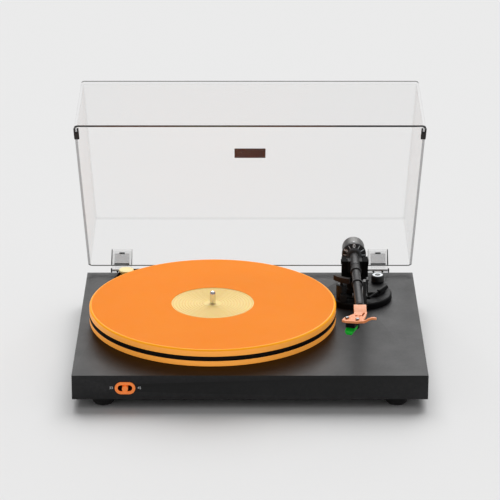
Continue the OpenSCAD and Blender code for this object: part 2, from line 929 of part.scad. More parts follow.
module headshell_outline() {
  polygon([[-block_w / 2, -block_back - 5], [block_w / 2, -block_back - 5],
           [block_w / 2 + 0.4, -block_front - 4], [4.4, -200], [2, -209], [-4, -212], [-19, -209],
           [-22.6, -205.5], [-20, -199], [-block_w / 2 - 1.4, -block_front - 8], [-block_w / 2, -block_front - 6]]);
}

// Local frame of the cartridge: origin at its front, Y along the headshell towards the back
module on_shell() {
  translate([shell_front[0], shell_front[1], 0]) rotate([0, 0, -shell_turn]) children();
}

module shell_bolts() {
  on_shell() for (x = [-bolt_half, bolt_half]) translate([x, bolt_back, 0]) children();
}

module headshell() {
  color("#f09664") arm_pose() difference() {
    union() {
      translate([-block_w / 2, 0, 0]) rotate([90, 0, 90]) linear_extrude(block_w)
        polygon([[-block_back, plate_bottom], [-block_back, block_top], [-block_back - 3, block_top],
                 [-block_front, plate_top + 1], [-block_front - 5, plate_top], [-block_front - 5, plate_bottom]]);
      translate([0, 0, plate_bottom]) linear_extrude(plate_t) headshell_outline();
      translate([0, lift_front, 0]) rotate([90, 0, 0]) translate([0, 0, -lift_w]) linear_extrude(lift_w)
        finger_lift_outline();
    }
    along_arm() rod(plug_r, block_back - 1, block_back + plug_len);
    shell_bolts() translate([0, 0, plate_bottom - 1]) linear_extrude(plate_t + 2) rotate(90)
      stadium(9, 2 * bolt_r);
    for (hole = [[-5.4, -192], [-1.2, -192.6]]) translate(hole) rod(1.7, plate_bottom - 1, plate_top + 1);
    translate([2.9, -188, plate_bottom - 1]) linear_extrude(plate_t + 4) rotate(75) stadium(12, 2.2);
  }
}

// Section of the finger lift in [X, Z], bent up and out
module finger_lift_outline() {
  polygon([[-3, plate_bottom], [3, plate_bottom], [6, -1.8], [8.6, 0.1], [12, 1.3], [15, 1.4], [16.9, 1],
           [17.8, 1.8], [17.6, 3], [15.8, 3.6], [12, 3.5], [8.2, 2.2], [5.4, 0.4], [2.6, plate_top],
           [-3, plate_top]]);
}

module cartridge() {
  color("#161618") arm_pose() {
    on_shell() difference() {
      slab([-cart_w / 2, cart_w / 2], [0, cart_len], [plate_bottom - cart_h, plate_bottom]);
      slab([-cart_w / 2 - 1, cart_w / 2 + 1], [-1, cart_len - 5],
           [plate_bottom - cart_h - 1, plate_bottom - cart_h + 5.5]);
    }
    on_shell() slab([-8.4, 8.4], [bolt_back - 3.2, bolt_back + 3.2], [plate_bottom - 2.5, plate_bottom]);
    shell_bolts() rod(bolt_r, plate_bottom, plate_top + 0.1);
    shell_bolts() rod(2.2, plate_top, plate_top + 1.6);
  }
}

// Plug-in stylus guard with its cantilever, narrower at the bottom
module stylus() {
  low = plate_bottom - cart_h;
  half = cart_w / 2 - 0.3;
  color("#10a034") arm_pose() on_shell() {
    intersection() {
      rotate([90, 0, 90]) translate([0, 0, -half]) linear_extrude(2 * half)
        polygon([[-3.4, low + 2.4], [0, low + 4.2], [1.5, low + 5.2], [cart_len - 5.3, low + 5.2],
                 [cart_len - 5.3, low], [7, low - 1.6], [2.5, low - 3], [-1.5, low - 2.8], [-3.4, low - 0.4]]);
      translate([0, cart_len, 0]) rotate([90, 0, 0]) linear_extrude(cart_len + 9)
        polygon([[-half, low + 9], [-half, low + 1.4], [-half + 1.6, low - 4], [half - 3.2, low - 4],
                 [half, low + 2.4], [half, low + 9]]);
    }
    translate([0, 0.6, -stylus_drop]) rod(0.35, 0, stylus_drop + low - 2);
  }
}

// ---- Counterweight ----

module counterweight_bush() {
  color("#4a4b4f") arm_pose() along_arm() ring(bush_r, stub_r + fit, -weight_end + 3, -weight_front + 1.5);
}

module counterweight() {
  color("#5b5c60") arm_pose() along_arm()
    ring(weight_d / 2, bush_r + fit, -weight_end, -weight_front - dial_w - gap);
}

module force_dial() {
  color("#17171a") arm_pose() along_arm() ring(dial_r, bush_r + fit, -weight_front - dial_w, -weight_front);
}

plinth();
bottom_cover();
cover_screws();
foot_front_left();
foot_front_right();
foot_rear_left();
foot_rear_right();
foot_screws();
main_bearing();
bearing_ball();
bearing_screws();
platter();
platter_hub();
spindle();
motor();
motor_plate();
motor_grommets();
motor_screws();
motor_shaft();
pulley();
belt();
switch_bezel();
switch_body();
switch_knob();
rear_panel();
panel_screws();
dc_inlet();
rca_jacks();
ground_terminal();
control_board();
board_parts();
board_screws();
dust_cover();
cover_badge();
cover_bumpers();
hinge_base_left();
hinge_base_right();
hinge_arm_left();
hinge_arm_right();
hinge_pins();
hinge_screws();
arm_base();
arm_base_plate();
arm_pillar();
pivot_bearings();
armrest();
armrest_clip();
cue_housing();
cue_lever();
cue_platform();
antiskate_dial();
gimbal_yoke();
pivot_screws();
arm_tube();
headshell();
cartridge();
stylus();
counterweight_bush();
counterweight();
force_dial();
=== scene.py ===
import json
import math
import bmesh
import bpy
from mathutils import Matrix, Vector


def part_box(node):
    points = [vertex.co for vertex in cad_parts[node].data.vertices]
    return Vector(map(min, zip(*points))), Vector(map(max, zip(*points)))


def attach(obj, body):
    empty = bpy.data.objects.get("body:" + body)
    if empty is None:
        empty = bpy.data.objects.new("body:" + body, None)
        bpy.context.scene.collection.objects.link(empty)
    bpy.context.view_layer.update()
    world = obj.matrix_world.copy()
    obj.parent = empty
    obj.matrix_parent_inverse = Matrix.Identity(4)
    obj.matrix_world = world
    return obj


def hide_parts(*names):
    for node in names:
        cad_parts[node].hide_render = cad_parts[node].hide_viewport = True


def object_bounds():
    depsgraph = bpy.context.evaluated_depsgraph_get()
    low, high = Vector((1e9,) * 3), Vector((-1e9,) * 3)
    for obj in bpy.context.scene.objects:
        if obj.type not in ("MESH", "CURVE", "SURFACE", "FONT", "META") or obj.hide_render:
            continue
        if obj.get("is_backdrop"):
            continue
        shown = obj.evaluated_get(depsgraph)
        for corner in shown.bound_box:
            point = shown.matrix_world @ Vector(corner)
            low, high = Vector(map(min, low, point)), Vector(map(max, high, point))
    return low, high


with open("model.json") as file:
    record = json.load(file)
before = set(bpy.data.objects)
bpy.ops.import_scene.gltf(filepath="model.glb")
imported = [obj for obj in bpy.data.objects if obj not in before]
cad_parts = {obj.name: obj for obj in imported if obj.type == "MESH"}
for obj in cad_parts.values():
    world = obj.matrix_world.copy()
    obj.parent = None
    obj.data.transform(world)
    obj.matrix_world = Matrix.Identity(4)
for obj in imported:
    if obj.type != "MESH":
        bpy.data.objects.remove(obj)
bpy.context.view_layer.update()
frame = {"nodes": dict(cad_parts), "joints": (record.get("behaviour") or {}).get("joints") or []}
nodes = frame["nodes"]
joints = {j["name"]: j for j in frame["joints"]}
TAU = 2 * math.pi
MM = 0.001
ACRYLIC_IOR = 1.49
WARM_SCATTER = (1.0, 0.45, 0.12)
ACRYLIC_SCATTER = (1.0, 0.42, 0.08)
TURNING_PITCH = 0.9 * MM

# ---------------------------------------------------------------- materials


def ramp_mix(nt, fac, a, b, low=0.3, high=0.7):
    """A two-colour ramp on a factor."""
    ramp = nt.nodes.new("ShaderNodeValToRGB")
    ramp.color_ramp.elements[0].position = low
    ramp.color_ramp.elements[1].position = high
    ramp.color_ramp.elements[0].color = (*a, 1)
    ramp.color_ramp.elements[1].color = (*b, 1)
    nt.links.new(fac, ramp.inputs["Fac"])
    return ramp.outputs["Color"]


def noise(nt, vector, scale, detail=4.0, rough=0.6):
    """A cloudy noise from 0 to 1; scale is in blobs per metre."""
    n = nt.nodes.new("ShaderNodeTexNoise")
    n.inputs["Scale"].default_value = scale
    n.inputs["Detail"].default_value = detail
    n.inputs["Roughness"].default_value = rough
    nt.links.new(vector, n.inputs["Vector"])
    return n.outputs["Fac"]


def map_range(nt, value, low, high, to_low, to_high):
    m = nt.nodes.new("ShaderNodeMapRange")
    m.inputs["From Min"].default_value = low
    m.inputs["From Max"].default_value = high
    m.inputs["To Min"].default_value = to_low
    m.inputs["To Max"].default_value = to_high
    nt.links.new(value, m.inputs["Value"])
    return m.outputs["Result"]


def coords(nt, stretch=None):
    """Object coordinates, scaled along each axis when stretch is given."""
    tc = nt.nodes.new("ShaderNodeTexCoord")
    if stretch is None:
        return tc.outputs["Object"]
    m = nt.nodes.new("ShaderNodeMapping")
    m.inputs["Scale"].default_value = stretch
    nt.links.new(tc.outputs["Object"], m.inputs["Vector"])
    return m.outputs["Vector"]


def math_of(nt, operation, first, second=None, clamp=False):
    """A maths node on one or two sockets; a plain number is set on its socket instead of linked."""
    node = nt.nodes.new("ShaderNodeMath")
    node.operation = operation
    node.use_clamp = clamp
    for socket, value in zip(node.inputs, (first, second)):
        if isinstance(value, float):
            socket.default_value = value
        elif value is not None:
            nt.links.new(value, socket)
    return node.outputs[0]


def vector_math(nt, operation, vector, operand=None):
    """A vector maths node on a socket, with a fixed second vector."""
    node = nt.nodes.new("ShaderNodeVectorMath")
    node.operation = operation
    nt.links.new(vector, node.inputs[0])
    if operand is not None:
        node.inputs[1].default_value = operand
    return node


def bumps(nt, layers):
    """Chained bumps: each layer is a height and its depth in metres."""
    last = None
    for height, depth in layers:
        b = nt.nodes.new("ShaderNodeBump")
        b.inputs["Strength"].default_value = 1.0
        b.inputs["Distance"].default_value = depth
        nt.links.new(height, b.inputs["Height"])
        if last is not None:
            nt.links.new(last, b.inputs["Normal"])
        last = b.outputs["Normal"]
    return last


def new_material(name):
    """A new material, its node tree and its Principled shader's inputs."""
    m = bpy.data.materials.new(name)
    m.use_nodes = True
    return m, m.node_tree, m.node_tree.nodes["Principled BSDF"].inputs


def scatter(inputs, weight, scale, radius):
    inputs["Subsurface Weight"].default_value = weight
    inputs["Subsurface Scale"].default_value = scale
    inputs["Subsurface Radius"].default_value = radius


def emission(inputs, color, strength):
    inputs["Emission Color"].default_value = (*color, 1)
    inputs["Emission Strength"].default_value = strength


def surface(name, color, rough, metal=0.0, spec=0.5, coat=0.0, coat_rough=0.1, vary=0.12, rough_vary=0.08,
            patch=45.0, grain=1500.0, grain_depth=0.00001, stretch=None, sub=0.0, sub_scale=0.01, sheen=0.0,
            edge_wear_and_highlight=None):
    """A Principled material with uneven colour, uneven gloss and a fine grain."""
    m, nt, inputs = new_material(name)
    inputs["Metallic"].default_value = metal
    inputs["Specular IOR Level"].default_value = spec
    inputs["Coat Weight"].default_value = coat
    inputs["Coat Roughness"].default_value = coat_rough
    inputs["Sheen Weight"].default_value = sheen
    if sub:
        scatter(inputs, sub, sub_scale, WARM_SCATTER)
    v = coords(nt, stretch)
    big = noise(nt, v, patch, 5.0)
    fine = noise(nt, v, grain, 3.0)
    dark = tuple(c * (1 - vary) for c in color)
    light = tuple(min(1.0, c * (1 + vary)) for c in color)
    col = ramp_mix(nt, big, dark, light)
    # lighter colour on sharp convex edges: partly wear, partly a painted edge highlight
    if edge_wear_and_highlight is not None:
        geo = nt.nodes.new("ShaderNodeNewGeometry")
        edge = map_range(nt, geo.outputs["Pointiness"], 0.52, 0.6, 0.0, 0.55)
        mix = nt.nodes.new("ShaderNodeMix")
        mix.data_type = "RGBA"
        nt.links.new(math_of(nt, "MULTIPLY", edge, noise(nt, v, 260.0, 6.0)), mix.inputs["Factor"])
        nt.links.new(col, mix.inputs["A"])
        mix.inputs["B"].default_value = (*edge_wear_and_highlight, 1)
        col = mix.outputs["Result"]
    nt.links.new(col, inputs["Base Color"])
    gloss = map_range(nt, noise(nt, v, patch * 2.3, 6.0), 0.25, 0.75,
                      max(0.02, rough - rough_vary), min(1.0, rough + rough_vary))
    nt.links.new(gloss, inputs["Roughness"])
    relief = bumps(nt, [(fine, grain_depth), (big, grain_depth * 1.5)])
    nt.links.new(relief, inputs["Normal"])
    return m


def clear(name, tint, rough, body, dirt=0.03, film=(0.6, 0.62, 0.64), gloss=1.0):
    """Clear plastic: see-through, with a Fresnel gloss, a fixed opaque share that is a thin haze on the clear
    walls and painted shade on the greyer edge copies, and faint dust and wipe marks.
    """
    m, nt, inputs = new_material(name)
    inputs["Base Color"].default_value = (*film, 1)
    inputs["IOR"].default_value = ACRYLIC_IOR
    v = coords(nt)
    wiped = coords(nt, (1.0, 7.0, 7.0))
    smear = map_range(nt, noise(nt, wiped, 26.0, 7.0), 0.3, 0.75, rough, rough + 0.12)
    nt.links.new(smear, inputs["Roughness"])
    nt.links.new(bumps(nt, [(noise(nt, v, 9.0, 2.0), 0.4 * MM)]), inputs["Normal"])
    see = nt.nodes.new("ShaderNodeBsdfTransparent")
    see.inputs["Color"].default_value = (*tint, 1)
    fresnel = nt.nodes.new("ShaderNodeFresnel")
    fresnel.inputs["IOR"].default_value = ACRYLIC_IOR
    geo = nt.nodes.new("ShaderNodeNewGeometry")
    front = map_range(nt, geo.outputs["Backfacing"], 0.0, 1.0, gloss, 0.0)
    shine = math_of(nt, "MULTIPLY", fresnel.outputs["Fac"], front)
    dust = map_range(nt, noise(nt, v, 900.0, 8.0, 0.75), 0.62, 0.8, body, body + dirt)
    mix = nt.nodes.new("ShaderNodeMixShader")
    nt.links.new(math_of(nt, "ADD", shine, dust, clamp=True), mix.inputs["Fac"])
    nt.links.new(see.outputs["BSDF"], mix.inputs[1])
    nt.links.new(nt.nodes["Principled BSDF"].outputs["BSDF"], mix.inputs[2])
    nt.links.new(mix.outputs["Shader"], nt.nodes["Material Output"].inputs["Surface"])
    return m


def platter_material(name, centre, color, deep, rough, rings=0.0, sub=0.15, gloss=0.05, painted_glow=None):
    """Cast acrylic: uneven depth of colour, fine turning rings round the spindle, and, when painted_glow is
    given, a painted glow as emission.
    """
    m, nt, inputs = new_material(name)
    scatter(inputs, sub, 12 * MM, ACRYLIC_SCATTER)
    inputs["IOR"].default_value = ACRYLIC_IOR
    inputs["Specular IOR Level"].default_value = gloss
    if painted_glow is not None:
        emission(inputs, painted_glow, 1.0)
    v = coords(nt)
    flat = vector_math(nt, "MULTIPLY", vector_math(nt, "SUBTRACT", v, centre).outputs[0], (1, 1, 0))
    radius = vector_math(nt, "LENGTH", flat.outputs[0]).outputs["Value"]
    turning = math_of(nt, "SINE", math_of(nt, "MULTIPLY", radius, TAU / TURNING_PITCH))
    nt.links.new(ramp_mix(nt, noise(nt, v, 7.0, 4.0), deep, color, 0.25, 0.7), inputs["Base Color"])
    haze = map_range(nt, noise(nt, v, 60.0, 6.0), 0.3, 0.7, rough - 0.05, rough + 0.06)
    nt.links.new(haze, inputs["Roughness"])
    fine = noise(nt, v, 2200.0, 3.0)
    nt.links.new(bumps(nt, [(fine, 0.000006), (turning, 0.000004 + rings)]), inputs["Normal"])
    return m


# the plinth, headshell and arm black lighten at sharp edges: partly wear, partly a painted edge highlight
PLINTH = surface("plinth_lacquer", (0.0150, 0.0150, 0.0154), 0.46, spec=0.17, vary=0.06, rough_vary=0.05,
                 patch=18.0, grain=2600.0, grain_depth=0.000018, edge_wear_and_highlight=(0.10, 0.10, 0.105))
COVER_BLACK = surface("moulded_black", (0.020, 0.020, 0.021), 0.62, vary=0.15, grain=1900.0,
                      grain_depth=0.00003)
RUBBER = surface("foot_rubber", (0.014, 0.014, 0.014), 0.86, spec=0.3, vary=0.2, grain=1600.0,
                 grain_depth=0.00003, sheen=0.1)
BELT = surface("belt_rubber", (0.010, 0.007, 0.005), 0.75, spec=0.12, vary=0.2, grain=2400.0,
               grain_depth=0.00002)
ZINC = surface("zinc_screws", (0.46, 0.46, 0.47), 0.32, metal=1.0, vary=0.12, patch=300.0, grain=3500.0,
               grain_depth=0.000006)
STEEL = surface("polished_steel", (0.72, 0.70, 0.69), 0.14, metal=1.0, vary=0.06, rough_vary=0.05,
                patch=200.0, grain=5000.0, grain_depth=0.000003)
BRASS = surface("bearing_brass", (0.50, 0.34, 0.14), 0.3, metal=1.0, vary=0.12, patch=150.0)
GOLD = surface("gold_contacts", (0.78, 0.52, 0.18), 0.22, metal=1.0, vary=0.08, patch=300.0)
ALUMINIUM = surface("turned_aluminium", (0.58, 0.58, 0.60), 0.3, metal=1.0, vary=0.06, patch=120.0)
MOTOR = surface("motor_steel", (0.34, 0.34, 0.35), 0.38, metal=1.0, vary=0.1, patch=80.0)
PULLEY = surface("pulley_cream", (0.86, 0.70, 0.27), 0.42, vary=0.05, patch=160.0, grain=2600.0,
                 grain_depth=0.00001, sub=0.1, sub_scale=0.004)
SHELL = surface("shell_orange", (0.90, 0.285, 0.085), 0.36, spec=0.3, vary=0.07, patch=180.0, grain=3200.0,
                grain_depth=0.000008, sub=0.08, sub_scale=0.002, edge_wear_and_highlight=(0.95, 0.62, 0.42))
BLACK = surface("black_plastic", (0.012, 0.012, 0.013), 0.45, vary=0.2, patch=140.0, grain=2800.0,
                grain_depth=0.00002)
ARM_BLACK = surface("arm_black", (0.0065, 0.0065, 0.007), 0.48, spec=0.11, vary=0.12, patch=90.0, grain=2600.0,
                    grain_depth=0.000016, edge_wear_and_highlight=(0.09, 0.09, 0.09))
TUBE = surface("arm_tube_dark", (0.020, 0.019, 0.020), 0.44, spec=0.20, vary=0.08, patch=110.0, grain=2600.0,
               grain_depth=0.000004)
WEIGHT = surface("weight_metal", (0.135, 0.132, 0.128), 0.46, metal=0.75, vary=0.1, patch=90.0, grain=3600.0,
                 grain_depth=0.00002)
FLANGE = surface("weight_flange", (0.16, 0.165, 0.175), 0.4, metal=0.4, vary=0.1, patch=200.0)
DIAL = surface("dial_black", (0.010, 0.010, 0.011), 0.42, vary=0.15, patch=160.0, grain=3000.0,
               grain_depth=0.000012)
YOKE = surface("yoke_black", (0.006, 0.006, 0.0065), 0.7, spec=0.03, vary=0.15, patch=90.0, grain=2600.0,
               grain_depth=0.00001)
LEVER = surface("lever_black", (0.005, 0.005, 0.0055), 0.5, spec=0.14, vary=0.2, patch=160.0, grain=2600.0,
                grain_depth=0.00001)
CUE = surface("cue_rubber", (0.020, 0.012, 0.010), 0.66, spec=0.35, vary=0.2, grain=1800.0,
              grain_depth=0.00003)
CART = surface("cartridge_black", (0.0025, 0.0025, 0.0028), 0.5, spec=0.08, vary=0.15, patch=200.0)
GREEN = surface("stylus_green", (0.001, 0.62, 0.030), 0.30, spec=0.3, vary=0.1, patch=220.0, sub=0.15,
                sub_scale=0.003)
SWITCH = surface("switch_orange", (1.0, 0.30, 0.07), 0.34, spec=0.3, coat=0.15, coat_rough=0.12, vary=0.05,
                 patch=200.0)
# painted glow: the switch faces away from the sun, so a faint emission stands in for the light it lacks and
# keeps its colour
emission(SWITCH.node_tree.nodes["Principled BSDF"].inputs, (1.0, 0.19, 0.02), 0.3)
WHITE = surface("white_marking", (0.90, 0.95, 0.99), 0.5, vary=0.04, patch=400.0)
PCB = surface("board_green", (0.012, 0.11, 0.035), 0.4, coat=0.2, vary=0.12, patch=120.0)
CHIP = surface("board_parts", (0.026, 0.026, 0.030), 0.5, vary=0.2, patch=300.0)
BADGE = surface("badge_lens", (0.040, 0.002, 0.002), 0.3, spec=0.12, coat=0.06, coat_rough=0.1, vary=0.35,
                patch=60.0, grain=900.0, grain_depth=0.000006)
HINGE_PIN = surface("hinge_pin_nylon", (0.95, 0.95, 0.94), 0.5, spec=0.2, vary=0.08, patch=300.0)
# dark lines on the clear hinge clips; the side strips made of it are painted dark edges
HINGE_DARK = surface("hinge_dark_lines", (0.004, 0.004, 0.004), 0.85, spec=0.06, vary=0.2, patch=300.0)
PIN = surface("black_steel", (0.014, 0.014, 0.015), 0.35, metal=0.3, vary=0.15, patch=300.0)
CLEAR = clear("clear_cover", (0.996, 0.996, 0.996), 0.03, 0.004, dirt=0.012, film=(0.9, 0.9, 0.9),
              gloss=0.8)
# the rim, dark-edge and fold looks are greyer, less clear copies of the clear plastic: painted shade for how
# the cut edges and the bent top look
CLEAR_RIM_SHADE = clear("clear_cover_rim_shade", (0.62, 0.62, 0.62), 0.10, 0.34, film=(0.24, 0.24, 0.25), gloss=0.4)
PAINTED_DARK_EDGE = clear("clear_cover_painted_dark_edge", (0.06, 0.06, 0.06), 0.14, 0.86, film=(0.022, 0.021, 0.021),
                  gloss=0.25)
CLEAR_FOLD_SHADE = clear("clear_cover_fold_shade", (0.955, 0.955, 0.955), 0.05, 0.02, film=(0.5, 0.5, 0.5), gloss=0.45)
HINGE = clear("hinge_clear", (0.975, 0.975, 0.975), 0.10, 0.03, film=(0.8, 0.8, 0.8), gloss=0.5)
HINGE_FROST = clear("hinge_frosted", (0.93, 0.93, 0.93), 0.3, 0.2, film=(0.62, 0.62, 0.63), gloss=0.4)

# ---------------------------------------------------------------- mesh tools


def mm(points):
    """Points written in millimetres, in metres."""
    return [(x * MM, y * MM) for x, y in points]


def add_object(name, data):
    """A new object in the scene."""
    o = bpy.data.objects.new(name, data)
    bpy.context.scene.collection.objects.link(o)
    return o


def face_outwards(me, weld=0.0):
    """Turn all faces outwards, after joining vertices nearer than weld."""
    bm = bmesh.new()
    bm.from_mesh(me)
    if weld:
        bmesh.ops.remove_doubles(bm, verts=bm.verts, dist=weld)
    bmesh.ops.recalc_face_normals(bm, faces=bm.faces)
    bm.to_mesh(me)
    bm.free()


def add_bevel(o, width, segments=2, angle=32):
    """Rounded edges where faces meet at more than an angle in degrees."""
    b = o.modifiers.new("bevel", "BEVEL")
    b.width = width
    b.segments = segments
    b.limit_method = "ANGLE"
    b.angle_limit = math.radians(angle)
    b.harden_normals = True
    b.use_clamp_overlap = True


def add_split(o, angle):
    """Sharp shading along edges steeper than an angle in degrees."""
    split = o.modifiers.new("split", "EDGE_SPLIT")
    split.split_angle = math.radians(angle)


def make(name, verts, faces, mats, body, slot, smooth=True, replaces=(), bevel=0.0, segments=2):
    """A mesh piece that rides on a body; mats is one material or a list of them."""
    me = bpy.data.meshes.new(name)
    me.from_pydata([tuple(v) for v in verts], [], faces)
    face_outwards(me, weld=1e-7)
    for p in me.polygons:
        p.use_smooth = smooth
    o = add_object(name, me)
    for mat in mats if isinstance(mats, list) else [mats]:
        me.materials.append(mat)
    if bevel:
        add_bevel(o, bevel, segments)
    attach(o, body)
    if replaces:
        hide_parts(*replaces)
    return o


def dress(node, mat, bevel=0.0, segments=2, angle=32):
    """A CAD node kept as it is, with its own material and softened edges."""
    o = nodes[node]
    o.data.materials.clear()
    o.data.materials.append(mat)
    for name in ("custom_normal", "sharp_edge", "sharp_face"):
        found = o.data.attributes.get(name)
        if found is not None:
            o.data.attributes.remove(found)
    for p in o.data.polygons:
        p.use_smooth = True
    weld = o.modifiers.new("weld", "WELD")
    weld.merge_threshold = 2e-6
    if bevel:
        add_bevel(o, bevel, segments, angle)
    else:
        add_split(o, angle)


def rounded(points, radius, steps=4):
    """A profile of (r, z) points with its inner corners rounded; radius is one size or one per point."""
    out = []
    n = len(points)
    for i, p in enumerate(points):
        r = radius[i] if isinstance(radius, (list, tuple)) else radius
        if i in (0, n - 1) or r <= 0:
            out.append(tuple(p))
            continue
        a, b, c = Vector(points[i - 1]), Vector(p), Vector(points[i + 1])
        u, w = a - b, c - b
        cut = min(r, u.length * 0.45, w.length * 0.45)
        if cut < 1e-9:
            out.append(tuple(p))
            continue
        start, end = b + u.normalized() * cut, b + w.normalized() * cut
        for k in range(steps + 1):
            t = k / steps
            out.append(tuple((1 - t) ** 2 * start + 2 * t * (1 - t) * b + t * t * end))
    return out


def lathe_mesh(profile, place, segments=96, closed=False, wobble=None):
    """Verts and faces of an (r, z) profile turned about the local z axis and put in place by a matrix."""
    verts, faces = [], []
    n = len(profile)
    for j in range(segments):
        a = TAU * j / segments
        for i, (r, z) in enumerate(profile):
            if wobble is not None:
                r, z = wobble(a, r, z)
            verts.append(place @ Vector((r * math.cos(a), r * math.sin(a), z)))
    count = n if closed else n - 1
    for j in range(segments):
        k = (j + 1) % segments
        for i in range(count):
            m = (i + 1) % n
            faces.append((j * n + i, k * n + i, k * n + m, j * n + m))
    return verts, faces


def lathe(name, profile, place, mat, body, slot, segments=96, closed=False, replaces=(), wobble=None):
    """A turned piece; wobble moves each profile point by its angle."""
    verts, faces = lathe_mesh(profile, place, segments, closed, wobble)
    add_split(make(name, verts, faces, mat, body, slot, replaces=replaces), 40)


def prism(outline, low, high, place):
    """Verts and faces of a closed outline pushed from low to high along local z."""
    n = len(outline)
    verts = [place @ Vector((x, y, z)) for z in (low, high) for x, y in outline]
    faces = [tuple(range(n))[::-1], tuple(range(n, 2 * n))]
    faces += [(i, (i + 1) % n, n + (i + 1) % n, n + i) for i in range(n)]
    return verts, faces


def box_mesh(low, high, place):
    """Verts and faces of a box between two corners."""
    outline = [(low[0], low[1]), (high[0], low[1]), (high[0], high[1]), (low[0], high[1])]
    return prism(outline, low[2], high[2], place)


def lettering(name, words, size, place, mat, body, depth=0.12 * MM, bold=0.0):
    """Generic digits as a thin raised mesh."""
    curve = bpy.data.curves.new(name + "_curve", "FONT")
    curve.body = words
    curve.size = size
    curve.extrude = depth
    curve.offset = bold
    curve.align_x = "CENTER"
    curve.align_y = "CENTER"
    curve.resolution_u = 6
    holder = add_object(name + "_holder", curve)
    bpy.context.view_layer.update()
    solid = holder.evaluated_get(bpy.context.evaluated_depsgraph_get())
    me = bpy.data.meshes.new_from_object(solid)
    bpy.data.objects.remove(holder)
    me.transform(place)
    me.materials.clear()
    me.materials.append(mat)
    o = add_object(name, me)
    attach(o, body)


def middle(node):
    """The middle of a CAD node's box."""
    low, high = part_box(node)
    return (low + high) / 2


def axes(origin, x, y, z):
    """A matrix from an origin and three axis directions."""
    m = Matrix((x, y, z)).transposed().to_4x4()
    m.translation = Vector(origin)
    return m


# ---------------------------------------------------------------- CAD nodes kept

# material, bevel in mm, bevel segments, nodes
DRESSED = (
    (PLINTH, 0.5, 3, ("plinth",)),
    (COVER_BLACK, 0.3, 2, ("bottom_cover", "rear_panel")),
    (COVER_BLACK, 0.2, 2, ("switch_body",)),
    (RUBBER, 0.6, 3, ("foot_front_left", "foot_front_right", "foot_rear_left", "foot_rear_right")),
    (RUBBER, 0.3, 2, ("motor_grommets",)),
    (ZINC, 0.15, 2, ("foot_screws", "cover_screws", "panel_screws", "bearing_screws", "motor_screws",
                     "board_screws", "hinge_screws")),
    (STEEL, 0.1, 2, ("bearing_ball", "motor_shaft", "pivot_bearings")),
    (BRASS, 0.2, 2, ("main_bearing",)),
    (ALUMINIUM, 0.2, 2, ("platter_hub",)),
    (MOTOR, 0.3, 2, ("motor", "motor_plate")),
    (BLACK, 0.2, 2, ("dc_inlet",)),
    (GOLD, 0.2, 2, ("rca_jacks", "ground_terminal")),
    (PCB, 0.1, 2, ("control_board",)),
    (CHIP, 0.3, 2, ("board_parts",)),
    (HINGE, 0.6, 3, ("hinge_base_left", "hinge_base_right")),
    (HINGE, 0.5, 3, ("hinge_arm_left", "hinge_arm_right")),
    (PIN, 0.3, 2, ("hinge_pins",)),
    (ARM_BLACK, 0.5, 3, ("arm_base", "arm_base_plate", "arm_pillar")),
    (BLACK, 0.5, 3, ("armrest",)),
    (BLACK, 0.3, 2, ("armrest_clip",)),
    (BLACK, 0.6, 3, ("cue_housing",)),
    (LEVER, 0.3, 2, ("cue_lever",)),
    (CUE, 1.2, 4, ("cue_platform",)),
    (YOKE, 0.8, 3, ("gimbal_yoke",)),
    (YOKE, 0.3, 2, ("pivot_screws",)),
    (WEIGHT, 0.3, 2, ("counterweight_bush",)),
    (SHELL, 0.4, 3, ("headshell",)),
    (CART, 0.3, 2, ("cartridge",)),
    (GREEN, 0.5, 3, ("stylus",)),
    (PULLEY, 0.2, 2, ("pulley",)),
    (SWITCH, 0.9, 4, ("switch_bezel",)),
    (SWITCH, 0.5, 3, ("switch_knob",)),
    (BADGE, 0.4, 3, ("cover_badge",)),
)
for look, bevel_mm, segments, names in DRESSED:
    for name in names:
        dress(name, look, bevel_mm * MM, segments)

# the pins are pale nylon up to this far outside each hinge's middle, with a dark outer end
NYLON_REACH = 9 * MM
hinge_pins = nodes["hinge_pins"]
hinge_pins.data.materials.append(HINGE_PIN)
dark_end, pale_middle = 0, 1
for p in hinge_pins.data.polygons:
    side = middle("hinge_base_left" if p.center.x < 0 else "hinge_base_right").x
    p.material_index = pale_middle if abs(p.center.x) - abs(side) < NYLON_REACH else dark_end

# ---------------------------------------------------------------- platter, spindle and belt

p_low, p_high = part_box("platter")
centre = (p_low + p_high) / 2
R = (p_high.x - p_low.x) / 2
z0, z1 = p_low.z, p_high.z
hub_low, hub_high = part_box("platter_hub")
hub_r = (hub_high.x - hub_low.x) / 2
spin = Matrix.Translation((centre.x, centre.y, 0))
groove = z0 + 7.1 * MM
groove_top = groove + 5.2 * MM
groove_r = R - 2.2 * MM
groove_lip = 0.3 * MM
label_r = 50 * MM
floor_z = z1 - 0.6 * MM
spindle_r = 3.55 * MM
hub_top = z1 - 4.5 * MM
RIB_H = 0.3 * MM
RIB_PITCH = 3.6 * MM
RIBS_END = 9.5 * MM

TOP = platter_material("platter_top", centre, (1.0, 0.282, 0.024), (0.99, 0.262, 0.020), 0.5, gloss=0.02)
# painted glow: the side and underside are a lighter, yellower copy of the acrylic, with emission standing in
# for light inside it
GLOWING_SIDE = platter_material("platter_side_glow", centre, (1.0, 0.42, 0.075), (0.95, 0.37, 0.06), 0.42, gloss=0.25,
                         painted_glow=(0.40, 0.15, 0.02))
# painted highlight: the top shoulder chamfer is a brighter yellow copy of the acrylic, with emission
RIM_HIGHLIGHT = platter_material("platter_rim_highlight", centre, (1.0, 0.40, 0.012), (1.0, 0.37, 0.008), 0.34, gloss=0.15,
                       painted_glow=(0.28, 0.10, 0.0))
# painted shade: a darker copy of the label colour for the sloping rib flanks
LABEL_RIB_SHADE = platter_material("platter_label_rib_shade", centre, (0.95, 0.60, 0.19), (0.93, 0.56, 0.17), 0.4,
                              gloss=0.2)
